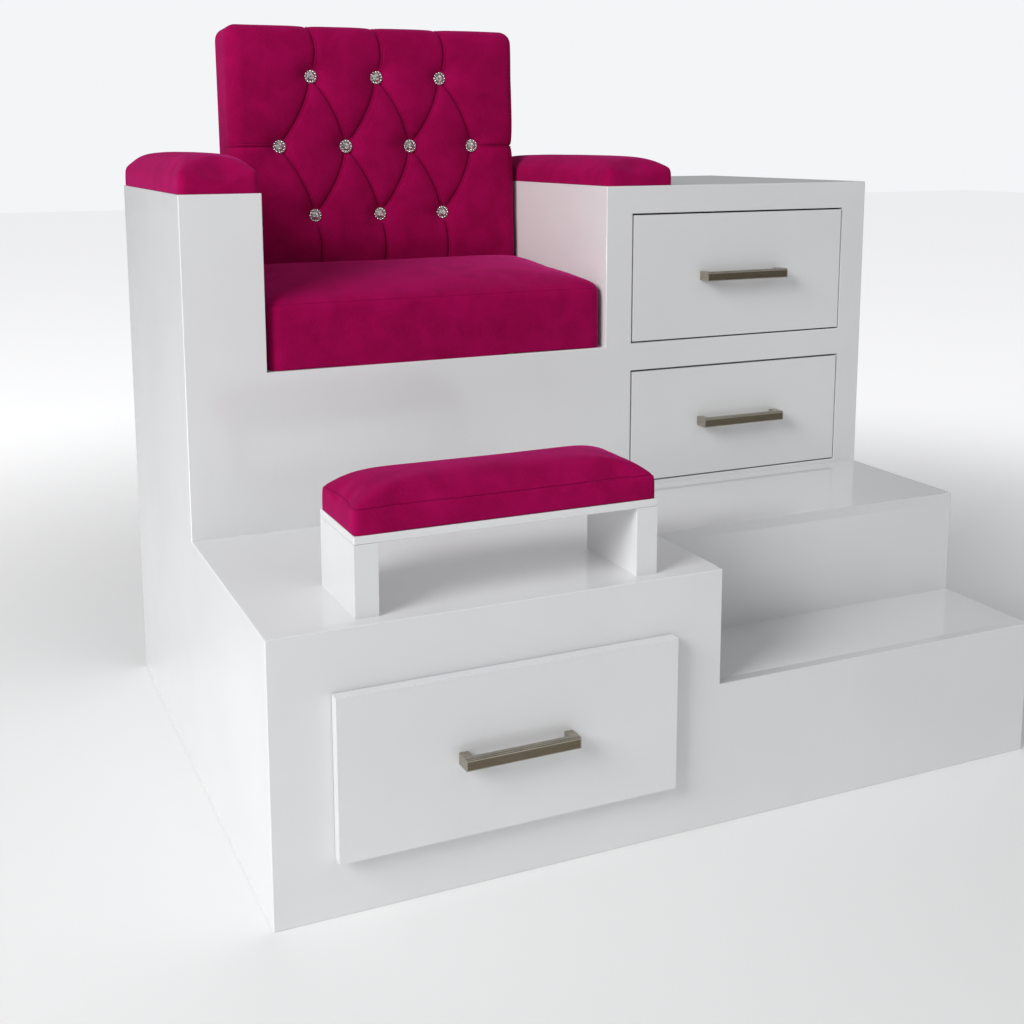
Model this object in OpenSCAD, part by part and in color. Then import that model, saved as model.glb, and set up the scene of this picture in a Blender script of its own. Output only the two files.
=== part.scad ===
// Pedicure spa chair: an upholstered bench on a stepped platform, with a two-drawer
// cabinet beside the seat, a drawer under the platform and a padded footrest.
// Sizes are in millimetres. Inside the modules x runs from the left side, y from the
// platform's front and z from the floor; placed() moves all of it to the part's origin.

/* [Casework] */
// Width of the casework
case_w = 1360; // [1300:1:1640]
// Depth of the casework, from the platform's front to the back
case_d = 1030; // [1010:1:1240]
// Height of the arm top and the cabinet top
arm_h = 992; // [980:1:1190]
// Height of the platform deck
platform_h = 422; // [400:1:440]
// Depth of the platform deck in front of the seat
platform_d = 480; // [460:1:500]
// Thickness of the lacquered boards
board_t = 18; // [16:1:22]
// Width of the left arm box
arm_w = 136; // [110:1:170]
// Width of the drawer cabinet
cabinet_w = 585; // [480:1:640]
// Height of the seat deck
seat_h = 696; // [660:1:720]

/* [Steps] */
// Width of the two steps
step_w = 641; // [520:1:660]
// Height of the lower step
step_h = 235; // [200:1:250]
// Depth of the lower step's tread
tread_d = 202; // [180:1:260]

/* [Cabinet drawers] */
// Rail above the upper drawer
top_rail = 51; // [40:1:60]
// Rail between the two drawers
mid_rail = 52; // [40:1:60]
// Rail under the lower drawer
bottom_rail = 9; // [6:1:20]
// Height of the upper drawer's opening
upper_opening_h = 241; // [200:1:260]
// Stile on each side of the drawer openings
cabinet_stile = 54; // [45:1:90]
// Gap round an inset drawer front
reveal = 3; // [2:0.5:4]
// Depth of the cabinet drawers' boxes
cabinet_box_d = 450; // [350:1:460]

/* [Platform drawer] */
// Lacquered border round the overlay drawer front
overlay_margin = 90; // [70:1:100]
// Thickness of the overlay drawer front
overlay_t = 19; // [16:1:28]
// Overlap of the overlay front on the panel behind it
overlay_lap = 12; // [8:1:20]
// Gap between the overlay front and the panel when it is shut
overlay_gap = 1; // [0.5:0.5:2]
// Depth of the platform drawer's box
platform_box_d = 410; // [350:1:440]

/* [Drawer boxes] */
// Thickness of the box sides and ends
box_t = 12; // [10:1:16]
// Thickness of the box bottoms
bottom_t = 6; // [4:1:9]
// Depth of the groove that holds a box bottom
groove_d = 5; // [3:1:6]
// Height of the groove above the box's lower edge
groove_z = 10; // [8:1:16]
// Space between an opening's lower edge and its box
box_lift = 20; // [15:1:30]
// Space between an opening's upper edge and its box
box_drop = 30; // [20:1:40]
// Space for a slide on each side of a box
slide_gap = 13; // [12.5:0.5:14]
// Sheet thickness of the slides
slide_t = 1.2; // [1:0.1:1.5]

/* [Pulls] */
// Length of a pull
pull_l = 181; // [140:1:220]
// Reach of a pull from its drawer front
pull_reach = 28; // [24:1:36]
// Depth of a pull's bar
pull_bar_d = 12; // [8:1:13]
// Height of a pull's bar
pull_h = 17; // [12:1:20]
// Width of a pull's end posts
pull_post_w = 14; // [12:1:20]
// Radius of the machine screws in the pulls
pull_screw_r = 2; // [1.5:0.25:2.5]

/* [Upholstery] */
// Gap between the seat cushion and the walls beside it
seat_gap = 3; // [2:1:6]
// Seat depth, from its front edge to the back cushion's face
seat_d = 372; // [340:1:390]
// Thickness of the seat cushion's board
seat_board_t = 12; // [9:1:18]
// Thickness of the seat cushion's foam
seat_foam_t = 112; // [80:1:125]
// Corner radius of the seat cushion
seat_r = 22; // [10:1:35]
// Gap between the back cushion and the cabinet wall
back_gap = 4; // [3:1:10]
// Gap between the back cushion and the left arm
back_arm_gap = 40; // [3:1:60]
// Length of the back cushion along its slope
back_l = 601; // [520:1:680]
// Gap between the back cushion's lower end and the seat deck
back_lift = 6; // [5:1:12]
// Thickness of the back cushion's foam
back_foam_t = 80; // [60:1:90]
// Thickness of the back cushion's board
back_board_t = 18; // [12:1:20]
// Corner radius of the back cushion
back_r = 24; // [15:1:40]
// Backward slope of the back cushion in degrees
back_tilt = 2.3; // [1:0.1:3]
// Thickness of the arm pads' boards
pad_board_t = 9; // [6:1:12]
// Thickness of the arm pads' foam
pad_foam_t = 34; // [25:1:45]
// Width of the pad on the cabinet top
right_pad_w = 142; // [110:1:170]
// Inset of an upholstery board inside its cushion
board_inset = 5; // [3:1:8]

/* [Tufting] */
// Distance between buttons along a row
tuft_x = 134; // [110:1:142]
// Distance between rows of buttons
tuft_z = 134; // [110:1:150]
// Height of the lowest row along the cushion
tuft_row = 236; // [180:1:260]
// Radius of a button's setting
button_r = 13; // [9:1:14]
// Depth of the well that a button sits in
tuft_well_d = 14; // [12:1:20]

/* [Footrest] */
// Distance of the footrest from the left side
footrest_x = 134; // [100:1:180]
// Distance of the footrest from the platform's front
footrest_y = 24; // [15:1:60]
// Width of the footrest
footrest_w = 481; // [420:1:500]
// Depth of the footrest
footrest_d = 159; // [130:1:190]
// Height of the footrest's legs
footrest_leg_h = 106; // [80:1:140]
// Thickness of the footrest's legs
footrest_leg_t = 35; // [25:1:45]
// Thickness of the footrest's top board
footrest_top_t = 12; // [9:1:18]
// Thickness of the footrest's cushion
footrest_foam_t = 50; // [35:1:65]

/* [Fixings] */
// Section of the square softwood cleats
cleat_w = 30; // [24:1:40]
// Size of the square blocks that hold the levelling feet
block_w = 50; // [40:1:60]
// Gap between a rear block and the cleat behind it
block_gap = 10; // [2:1:30]
// Radius of a wood screw
screw_r = 2; // [1.5:0.25:2.5]
// Radial clearance of a screw in its hole
screw_clear = 0.05; // [0.02:0.01:0.1]
// Radius of a levelling foot
foot_r = 15; // [12:1:20]
// Radius of a levelling foot's stem
stem_r = 4; // [3:0.5:5]

/* [Hidden] */
$fn = 48;

// Finishes
lacquer = [0.94, 0.94, 0.95];
velvet = [0.62, 0.03, 0.32];
softwood = [0.80, 0.66, 0.46];
plywood = [0.74, 0.58, 0.38];
steel = [0.70, 0.71, 0.73];
bronze = [0.42, 0.36, 0.24];
crystal = [0.85, 0.86, 0.90];
rubber = [0.12, 0.12, 0.12];

// Lines of the plan and the elevation
cabinet_x = case_w - cabinet_w;
platform_w = case_w - step_w;
inner_right = case_w - board_t;
inner_back = case_d - board_t;
upper_front_y = platform_d + board_t;
deck_z = platform_h - board_t;
arm_top_z = arm_h - board_t;
front_reach = overlay_gap + overlay_t + pull_reach;
mid_y = (case_d - front_reach) / 2;

// Back rest: its face leans back from the seat deck
back_y = platform_d + seat_d;
back_x = arm_w + back_arm_gap;
back_w = cabinet_x - back_gap - back_x;
back_t = back_foam_t + back_board_t;
function back_rear_y(z) = back_y + back_t / cos(back_tilt) + (z - seat_h) * tan(back_tilt);
tuft_rows = [3, 4, 3];
tuft_points = [
    for (row = [0 : len(tuft_rows) - 1], i = [0 : tuft_rows[row] - 1])
        [back_w / 2 + (i - (tuft_rows[row] - 1) / 2) * tuft_x, tuft_row + row * tuft_z]
];
button_t = 5;
button_front = 2;
crystal_base = tuft_well_d - button_t;
shank_r = 1.5;
well_clear = 2;
shank_in_board = 10;

// Drawer bays: [left, right, low, high, front of the box, depth of the box]
bay_left = cabinet_x + cabinet_stile;
bay_right = case_w - cabinet_stile;
upper_bay_top = arm_h - top_rail;
upper_bay_low = upper_bay_top - upper_opening_h;
upper_bay = [bay_left, bay_right, upper_bay_low, upper_bay_top, upper_front_y, cabinet_box_d];
lower_bay = [bay_left, bay_right, platform_h + bottom_rail, upper_bay_low - mid_rail,
             upper_front_y, cabinet_box_d];
overlay_side = overlay_margin + overlay_lap;
platform_bay = [overlay_side, platform_w - overlay_side, overlay_side,
                platform_h - overlay_side, -overlay_gap, platform_box_d];
function bay_mid_x(bay) = (bay[0] + bay[1]) / 2;
function bay_mid_z(bay) = (bay[2] + bay[3]) / 2;
function box_x0(bay) = bay[0] + slide_gap;
function box_x1(bay) = bay[1] - slide_gap;
function box_z0(bay) = bay[2] + box_lift;
function box_z1(bay) = bay[3] - box_drop;
function slide_z(bay) = (box_z0(bay) + box_z1(bay)) / 2;
// A slide stops short of the box's rear end
slide_short = 10;
function slide_l(bay) = bay[5] - board_t - slide_short;
function slide_y(bay) = bay[4] < 0 ? board_t : bay[4];

// Half heights and reaches of the three slide members
outer_half = 22.5;
middle_half = 19;
inner_half = 15.5;
outer_reach = 10;
middle_web = 3;
middle_reach = 11;
inner_reach = 5.6;

pull_spacing = pull_l - pull_post_w;
pull_bore_d = 12;
pull_edge = 1.5;
screw_head_r = 4;
screw_head_h = 2.5;
front_screw_bite = 10;
front_screw_inset = 40;

packer_w = 60;
upright_w = 60;
upright_offset = 170;
cap_gap = 4;
pad_gap = 1;
runner_l = 430;
foot_h = 6;
stem_l = 40;
block_z = 20;
block_h = 40;
back_screw_l = 38;
back_screw_head_r = 4;
back_screw_head_h = 2;
leg_fillet = 6;
footrest_screw_l = 45;
footrest_screw_inset = 35;

module placed() {
    translate([-case_w / 2, -mid_y, 0]) children();
}

// A board between two corners
module board(low, high) {
    translate(low) cube(high - low);
}

// A profile drawn in y and z, extruded along x
module along_x(x, length) {
    translate([x, 0, 0]) rotate([90, 0, 90]) linear_extrude(length) children();
}

// A profile drawn in x and z, extruded along y
module along_y(y, length) {
    translate([0, y + length, 0]) rotate([90, 0, 0]) linear_extrude(length) children();
}

// A cylinder that runs along y
module rod_y(x, y, z, length, r) {
    translate([x, y, z]) rotate([-90, 0, 0]) cylinder(h = length, r = r);
}

// A slab whose four upright edges are round
module rounded_slab(size, r) {
    translate([r, 0, 0]) cube([size[0] - 2 * r, size[1], size[2]]);
    translate([0, r, 0]) cube([size[0], size[1] - 2 * r, size[2]]);
    for (x = [r, size[0] - r], y = [r, size[1] - r])
        translate([x, y, 0]) cylinder(h = size[2], r = r);
}

// ---- Casework ----

module left_side_panel() {
    placed() color(lacquer) along_x(0, board_t) polygon([
        [0, 0], [case_d, 0], [case_d, arm_h], [platform_d, arm_h],
        [platform_d, platform_h], [0, platform_h]
    ]);
}

module right_side_panel() {
    placed() color(lacquer) along_x(inner_right, board_t) polygon([
        [0, 0], [case_d, 0], [case_d, arm_h], [platform_d, arm_h],
        [platform_d, platform_h], [tread_d, platform_h], [tread_d, step_h], [0, step_h]
    ]);
}

// Rows of screws up each side of the back panel, below and above the deck
lower_screws = 3;
upper_screws = 4;
back_screw_z = concat(
    [for (i = [0 : lower_screws - 1]) deck_z * (i + 0.5) / lower_screws],
    [for (i = [0 : upper_screws - 1])
        platform_h + (arm_top_z - platform_h) * (i + 0.5) / upper_screws]
);
back_screw_x = [board_t + cleat_w / 2, inner_right - cleat_w / 2];

module at_back_screws() {
    for (x = back_screw_x, z = back_screw_z)
        translate([x, case_d, z]) rotate([90, 0, 0]) children();
}

module countersunk_screw(length, r, head_r, head_h) {
    cylinder(h = length, r = r);
    cylinder(h = head_h, r1 = head_r, r2 = r);
}

module back_panel() {
    placed() color(lacquer) difference() {
        board([board_t, inner_back, 0], [inner_right, case_d, arm_h]);
        at_back_screws() {
            translate([0, 0, -1]) cylinder(h = board_t + 2, r = screw_r + screw_clear);
            cylinder(h = back_screw_head_h + screw_clear,
                     r1 = back_screw_head_r + screw_clear, r2 = screw_r + screw_clear);
        }
    }
}

module back_panel_screws() {
    placed() color(steel) at_back_screws()
        countersunk_screw(back_screw_l, screw_r, back_screw_head_r, back_screw_head_h);
}

module bay_opening(bay) {
    translate([bay[0], bay[2]]) square([bay[1] - bay[0], bay[3] - bay[2]]);
}

module upper_front_panel() {
    placed() color(lacquer) along_y(platform_d, board_t) difference() {
        polygon([
            [board_t, platform_h], [inner_right, platform_h], [inner_right, arm_h],
            [cabinet_x, arm_h], [cabinet_x, seat_h], [arm_w, seat_h], [arm_w, arm_h],
            [board_t, arm_h]
        ]);
        bay_opening(upper_bay);
        bay_opening(lower_bay);
    }
}

module platform_front_panel() {
    placed() color(lacquer) along_y(0, board_t) difference() {
        polygon([
            [board_t, 0], [inner_right, 0], [inner_right, step_h], [platform_w, step_h],
            [platform_w, platform_h], [board_t, platform_h]
        ]);
        bay_opening(platform_bay);
    }
}

footrest_screw_x = [footrest_x + footrest_leg_t / 2,
                    footrest_x + footrest_w - footrest_leg_t / 2];
footrest_screw_y = [footrest_y + footrest_screw_inset,
                    footrest_y + footrest_d - footrest_screw_inset];

module at_footrest_screws() {
    for (x = footrest_screw_x, y = footrest_screw_y)
        translate([x, y, deck_z]) children();
}

module platform_deck() {
    placed() color(lacquer) difference() {
        translate([0, 0, deck_z]) linear_extrude(board_t) polygon([
            [board_t, board_t], [platform_w, board_t], [platform_w, tread_d],
            [inner_right, tread_d], [inner_right, inner_back], [board_t, inner_back]
        ]);
        at_footrest_screws() translate([0, 0, -1])
            cylinder(h = board_t + 2, r = screw_r + screw_clear);
    }
}

module platform_cheek() {
    placed() color(lacquer) board([platform_w - board_t, board_t, step_h],
                                  [platform_w, tread_d + board_t, deck_z]);
}

module step_riser() {
    placed() color(lacquer) board([platform_w, tread_d, step_h],
                                  [inner_right, tread_d + board_t, deck_z]);
}

module step_tread() {
    placed() color(lacquer) board([platform_w - board_t, board_t, step_h - board_t],
                                  [inner_right, tread_d + board_t, step_h]);
}

module platform_divider() {
    placed() color(plywood) along_x(platform_w - board_t, board_t) polygon([
        [board_t, 0], [inner_back, 0], [inner_back, deck_z],
        [tread_d + board_t, deck_z], [tread_d + board_t, step_h - board_t],
        [board_t, step_h - board_t]
    ]);
}

module runner_boards() {
    placed() color(plywood) for (x = [platform_bay[0] - board_t, platform_bay[1]])
        board([x, board_t, 0], [x + board_t, board_t + runner_l, deck_z]);
}

module left_arm_inner_panel() {
    placed() color(lacquer) board([arm_w - board_t, upper_front_y, platform_h],
                                  [arm_w, inner_back, arm_h]);
}

module left_arm_top() {
    placed() color(lacquer) board([board_t, upper_front_y, arm_top_z],
                                  [arm_w - board_t, inner_back, arm_h]);
}

module cabinet_wall() {
    placed() color(lacquer) board([cabinet_x, upper_front_y, platform_h],
                                  [cabinet_x + board_t, inner_back, arm_h]);
}

module cabinet_top() {
    placed() color(lacquer) board([cabinet_x + board_t, upper_front_y, arm_top_z],
                                  [inner_right, inner_back, arm_h]);
}

shelf_z = upper_bay_low - (mid_rail + board_t) / 2;

module cabinet_shelf() {
    placed() color(plywood) board(
        [cabinet_x + board_t, upper_front_y, shelf_z],
        [inner_right, inner_back - cleat_w, shelf_z + board_t]);
}

module slide_packers() {
    placed() color(softwood) for (bay = [upper_bay, lower_bay]) {
        z = slide_z(bay) - packer_w / 2;
        board([cabinet_x + board_t, upper_front_y, z],
              [bay[0], upper_front_y + cabinet_box_d, z + packer_w]);
        board([bay[1], upper_front_y, z],
              [inner_right, upper_front_y + cabinet_box_d, z + packer_w]);
    }
}

module seat_deck() {
    placed() color(lacquer) board([arm_w, upper_front_y, seat_h - board_t],
                                  [cabinet_x, inner_back, seat_h]);
}

seat_mid_x = (arm_w + cabinet_x) / 2;

module seat_rib() {
    placed() color(plywood) board(
        [seat_mid_x - board_t / 2, upper_front_y, platform_h],
        [seat_mid_x + board_t / 2, inner_back, seat_h - board_t]);
}

module back_uprights() {
    placed() color(softwood) for (side = [-1, 1])
        along_x(seat_mid_x + side * upright_offset - upright_w / 2, upright_w) polygon([
            [back_rear_y(seat_h), seat_h], [inner_back, seat_h],
            [inner_back, arm_top_z], [back_rear_y(arm_top_z), arm_top_z]
        ]);
}

module rear_cap() {
    placed() color(lacquer) board([arm_w, back_rear_y(arm_h) + cap_gap, arm_top_z],
                                  [cabinet_x, inner_back, arm_h]);
}

foot_x = [board_t, platform_w, inner_right - block_w];
foot_y = [board_t, inner_back - cleat_w - block_gap - block_w];

module at_feet() {
    for (x = foot_x, y = foot_y)
        translate([x + block_w / 2, y + block_w / 2, 0]) children();
}

module corner_blocks() {
    placed() color(softwood) {
        difference() {
            for (x = [board_t, inner_right - cleat_w], z = [[0, deck_z], [platform_h, arm_top_z]])
                board([x, inner_back - cleat_w, z[0]], [x + cleat_w, inner_back, z[1]]);
            at_back_screws() cylinder(h = back_screw_l, r = screw_r + screw_clear);
        }
        at_feet() difference() {
            translate([-block_w / 2, -block_w / 2, block_z]) cube([block_w, block_w, block_h]);
            cylinder(h = foot_h + stem_l, r = stem_r + screw_clear);
        }
    }
}

module levelling_feet() {
    placed() color(rubber) at_feet() {
        cylinder(h = foot_h, r = foot_r);
        cylinder(h = foot_h + stem_l, r = stem_r);
    }
}

// ---- Upholstery ----

seat_size = [cabinet_x - arm_w - 2 * seat_gap, seat_d - 2 * seat_gap, seat_foam_t];

module seat_board() {
    placed() color(plywood) board(
        [arm_w + seat_gap + board_inset, platform_d + seat_gap + board_inset, seat_h],
        [cabinet_x - seat_gap - board_inset, back_y - seat_gap - board_inset,
         seat_h + seat_board_t]);
}

module seat_cushion() {
    placed() color(velvet)
        translate([arm_w + seat_gap, platform_d + seat_gap, seat_h + seat_board_t])
            rounded_slab(seat_size, seat_r);
}

// Moves to the back cushion's lower left front corner and leans back with it
module at_back() {
    placed() translate([back_x, back_y, seat_h]) rotate([-back_tilt, 0, 0]) children();
}

// A slab whose corners are round as seen from the front
module back_slab(y, thickness, inset, r) {
    translate([inset, y + thickness, back_lift + inset]) rotate([90, 0, 0])
        rounded_slab([back_w - 2 * inset, back_l - back_lift - 2 * inset, thickness], r);
}

module at_tufts(y) {
    for (p = tuft_points) translate([p[0], y, p[1]]) rotate([-90, 0, 0]) children();
}

module back_board() {
    at_back() color(plywood) difference() {
        back_slab(back_foam_t, back_board_t, board_inset, back_r - board_inset);
        at_tufts(back_foam_t - 1)
            cylinder(h = 1 + shank_in_board, r = shank_r + screw_clear);
    }
}

module back_cushion() {
    at_back() color(velvet) difference() {
        back_slab(0, back_foam_t, 0, back_r);
        at_tufts(-1) cylinder(h = 1 + tuft_well_d, r = button_r + well_clear);
        at_tufts(0) cylinder(h = back_foam_t + 1, r = shank_r + screw_clear);
    }
}

module button_settings() {
    at_back() color(steel) at_tufts(crystal_base) {
        cylinder(h = button_t, r = button_r);
        cylinder(h = back_foam_t + shank_in_board - crystal_base, r = shank_r);
    }
}

module button_crystals() {
    at_back() color(crystal) at_tufts(button_front)
        cylinder(h = crystal_base - button_front, r1 = button_r * 0.55, r2 = button_r - 1);
}

// Left and right arm pads: [x, width]
left_pad = [0, arm_w];
right_pad = [cabinet_x, right_pad_w];
pad_y = platform_d;

module arm_pad_boards() {
    inset = pad_gap + board_inset;
    placed() color(plywood) for (pad = [left_pad, right_pad])
        board([pad[0] + inset, pad_y + inset, arm_h],
              [pad[0] + pad[1] - inset, case_d - inset, arm_h + pad_board_t]);
}

module arm_pad(pad) {
    placed() color(velvet)
        board([pad[0] + pad_gap, pad_y + pad_gap, arm_h + pad_board_t],
              [pad[0] + pad[1] - pad_gap, case_d - pad_gap, arm_h + pad_board_t + pad_foam_t]);
}

module left_arm_pad() {
    arm_pad(left_pad);
}

module right_arm_pad() {
    arm_pad(right_pad);
}

// ---- Footrest ----

footrest_top_z = platform_h + footrest_leg_h;

module footrest_leg() {
    difference() {
        union() {
            board([0, 0, platform_h], [footrest_leg_t, footrest_d, footrest_top_z]);
            board([footrest_leg_t, 0, footrest_top_z - leg_fillet],
                  [footrest_leg_t + leg_fillet, footrest_d, footrest_top_z]);
        }
        rod_y(footrest_leg_t + leg_fillet, -1, footrest_top_z - leg_fillet,
              footrest_d + 2, leg_fillet);
    }
}

module footrest_legs() {
    placed() color(lacquer) difference() {
        translate([footrest_x, footrest_y, 0]) {
            footrest_leg();
            translate([footrest_w, 0, 0]) mirror([1, 0, 0]) footrest_leg();
        }
        at_footrest_screws() cylinder(h = footrest_screw_l, r = screw_r + screw_clear);
    }
}

module footrest_top() {
    placed() color(lacquer) board(
        [footrest_x, footrest_y, footrest_top_z],
        [footrest_x + footrest_w, footrest_y + footrest_d, footrest_top_z + footrest_top_t]);
}

module footrest_screws() {
    placed() color(steel) at_footrest_screws() {
        translate([0, 0, -screw_head_h]) cylinder(h = screw_head_h, r = screw_head_r);
        cylinder(h = footrest_screw_l, r = screw_r);
    }
}

module footrest_cushion() {
    placed() color(velvet) board(
        [footrest_x + pad_gap, footrest_y + pad_gap, footrest_top_z + footrest_top_t],
        [footrest_x + footrest_w - pad_gap, footrest_y + footrest_d - pad_gap,
         footrest_top_z + footrest_top_t + footrest_foam_t]);
}

// ---- Drawers ----

// Draws a left-hand piece at a bay's left side and its mirror image at the right side
module both_sides(bay) {
    translate([bay[0], 0, 0]) children();
    translate([bay[1], 0, 0]) mirror([1, 0, 0]) children();
}

// A steel channel along y: a web at x = web with lips that reach to x = reach
module channel(bay, web, reach, half) {
    outside = web < reach ? web : web + slide_t;
    inside = web < reach ? web + slide_t : web;
    translate([0, 0, slide_z(bay)]) along_y(slide_y(bay), slide_l(bay)) polygon([
        [outside, -half], [reach, -half], [reach, -half + slide_t],
        [inside, -half + slide_t], [inside, half - slide_t],
        [reach, half - slide_t], [reach, half], [outside, half]
    ]);
}

module fixed_slide_members() {
    placed() color(steel) for (bay = [upper_bay, lower_bay, platform_bay])
        both_sides(bay) channel(bay, 0, outer_reach, outer_half);
}

module middle_slide_members(bay) {
    placed() color(steel) both_sides(bay) channel(bay, middle_web, middle_reach, middle_half);
}

module drawer_slide_members(bay) {
    placed() color(steel) both_sides(bay)
        channel(bay, slide_gap - slide_t, inner_reach, inner_half);
}

// Screw places on a drawer front: two for the pull, four for the front itself
function pull_screw_x(bay) = [for (s = [-1, 1]) bay_mid_x(bay) + s * pull_spacing / 2];
function front_screw_x(bay) = [box_x0(bay) + front_screw_inset, box_x1(bay) - front_screw_inset];
function front_screw_z(bay) = [box_z0(bay) + front_screw_inset, box_z1(bay) - front_screw_inset];

module drawer_box_walls(bay) {
    y0 = bay[4];
    y1 = bay[4] + bay[5];
    bottom_z = box_z0(bay) + groove_z;
    placed() color(plywood) difference() {
        union() {
            for (x = [box_x0(bay), box_x1(bay) - box_t])
                board([x, y0, box_z0(bay)], [x + box_t, y1, box_z1(bay)]);
            for (y = [y0, y1 - box_t])
                board([box_x0(bay) + box_t, y, box_z0(bay)],
                      [box_x1(bay) - box_t, y + box_t, box_z1(bay)]);
        }
        board([box_x0(bay) + box_t - groove_d, y0 + box_t - groove_d, bottom_z],
              [box_x1(bay) - box_t + groove_d, y1 - box_t + groove_d, bottom_z + bottom_t]);
        for (x = pull_screw_x(bay))
            rod_y(x, y0 - 1, bay_mid_z(bay), box_t + 2, pull_screw_r + screw_clear);
        for (x = front_screw_x(bay), z = front_screw_z(bay))
            rod_y(x, y0 - 1, z, box_t + 2, screw_r + screw_clear);
    }
}

module drawer_bottom(bay) {
    bottom_z = box_z0(bay) + groove_z;
    placed() color(plywood) board(
        [box_x0(bay) + box_t - groove_d, bay[4] + box_t - groove_d, bottom_z],
        [box_x1(bay) - box_t + groove_d, bay[4] + bay[5] - box_t + groove_d,
         bottom_z + bottom_t]);
}

// Holes in a drawer front of the given thickness, whose back touches the box
module front_holes(bay, thickness) {
    for (x = pull_screw_x(bay))
        rod_y(x, bay[4] - thickness - 1, bay_mid_z(bay), thickness + 2,
              pull_screw_r + screw_clear);
    for (x = front_screw_x(bay), z = front_screw_z(bay))
        rod_y(x, bay[4] - front_screw_bite, z, front_screw_bite + 1, screw_r + screw_clear);
}

module inset_front(bay) {
    placed() color(lacquer) difference() {
        board([bay[0] + reveal, bay[4] - board_t, bay[2] + reveal],
              [bay[1] - reveal, bay[4], bay[3] - reveal]);
        front_holes(bay, board_t);
    }
}

// The overlay front laps over the edges of its opening
module platform_drawer_front() {
    bay = platform_bay;
    placed() color(lacquer) difference() {
        board([bay[0] - overlay_lap, bay[4] - overlay_t, bay[2] - overlay_lap],
              [bay[1] + overlay_lap, bay[4], bay[3] + overlay_lap]);
        front_holes(bay, overlay_t);
    }
}

// A bar on two end posts, in front of a drawer front of the given thickness
module drawer_pull(bay, thickness) {
    face_y = bay[4] - thickness;
    x0 = bay_mid_x(bay) - pull_l / 2;
    z0 = bay_mid_z(bay) - pull_h / 2;
    placed() color(bronze) difference() {
        union() {
            board([x0, face_y - pull_reach, z0],
                  [x0 + pull_l, face_y - pull_reach + pull_bar_d, z0 + pull_h]);
            for (x = [x0, x0 + pull_l - pull_post_w])
                board([x, face_y - pull_reach + pull_bar_d, z0],
                      [x + pull_post_w, face_y, z0 + pull_h]);
        }
        board([x0 - 1, face_y - pull_reach - 1, z0 + pull_h - pull_edge],
              [x0 + pull_l + 1, face_y - pull_reach + pull_edge, z0 + pull_h + 1]);
        for (x = pull_screw_x(bay))
            rod_y(x, face_y - pull_bore_d, bay_mid_z(bay), pull_bore_d + 1,
                  pull_screw_r + screw_clear);
    }
}

// Pull screws and front screws, whose heads lie inside the box
module drawer_screws(bay, thickness) {
    head_y = bay[4] + box_t;
    placed() color(steel) {
        for (x = pull_screw_x(bay)) {
            rod_y(x, head_y, bay_mid_z(bay), screw_head_h, screw_head_r);
            rod_y(x, bay[4] - thickness - pull_bore_d, bay_mid_z(bay),
                  pull_bore_d + thickness + box_t, pull_screw_r);
        }
        for (x = front_screw_x(bay), z = front_screw_z(bay)) {
            rod_y(x, head_y, z, screw_head_h, screw_head_r);
            rod_y(x, bay[4] - front_screw_bite, z, front_screw_bite + box_t, screw_r);
        }
    }
}

left_side_panel();
right_side_panel();
back_panel();
upper_front_panel();
platform_front_panel();
platform_deck();
platform_cheek();
step_riser();
step_tread();
platform_divider();
runner_boards();
left_arm_inner_panel();
left_arm_top();
cabinet_wall();
cabinet_top();
cabinet_shelf();
slide_packers();
seat_deck();
seat_rib();
back_uprights();
rear_cap();
corner_blocks();
back_panel_screws();
levelling_feet();
seat_board();
seat_cushion();
back_board();
back_cushion();
button_settings();
button_crystals();
arm_pad_boards();
left_arm_pad();
right_arm_pad();
footrest_legs();
footrest_top();
footrest_screws();
footrest_cushion();
fixed_slide_members();
inset_front(upper_bay);  // upper_drawer_front
drawer_box_walls(upper_bay);  // upper_drawer_box_walls
drawer_bottom(upper_bay);  // upper_drawer_bottom
drawer_pull(upper_bay, board_t);  // upper_drawer_pull
drawer_screws(upper_bay, board_t);  // upper_drawer_screws
drawer_slide_members(upper_bay);  // upper_drawer_slide_members
middle_slide_members(upper_bay);  // upper_middle_slide_members
inset_front(lower_bay);  // lower_drawer_front
drawer_box_walls(lower_bay);  // lower_drawer_box_walls
drawer_bottom(lower_bay);  // lower_drawer_bottom
drawer_pull(lower_bay, board_t);  // lower_drawer_pull
drawer_screws(lower_bay, board_t);  // lower_drawer_screws
drawer_slide_members(lower_bay);  // lower_drawer_slide_members
middle_slide_members(lower_bay);  // lower_middle_slide_members
platform_drawer_front();
drawer_box_walls(platform_bay);  // platform_drawer_box_walls
drawer_bottom(platform_bay);  // platform_drawer_bottom
drawer_pull(platform_bay, overlay_t);  // platform_drawer_pull
drawer_screws(platform_bay, overlay_t);  // platform_drawer_screws
drawer_slide_members(platform_bay);  // platform_drawer_slide_members
middle_slide_members(platform_bay);  // platform_middle_slide_members
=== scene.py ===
"""Visual model of a pedicure spa chair: a lacquered bench with velvet upholstery and three drawers.

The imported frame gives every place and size. Lengths are in metres, +Z is up, and the sitter looks
along -Y.
"""

from __future__ import annotations

import logging
import math
from dataclasses import dataclass, field
from enum import Enum
from typing import Sequence

import bmesh
import bpy
from mathutils import Euler, Matrix, Vector, noise
from mathutils.bvhtree import BVHTree


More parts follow.
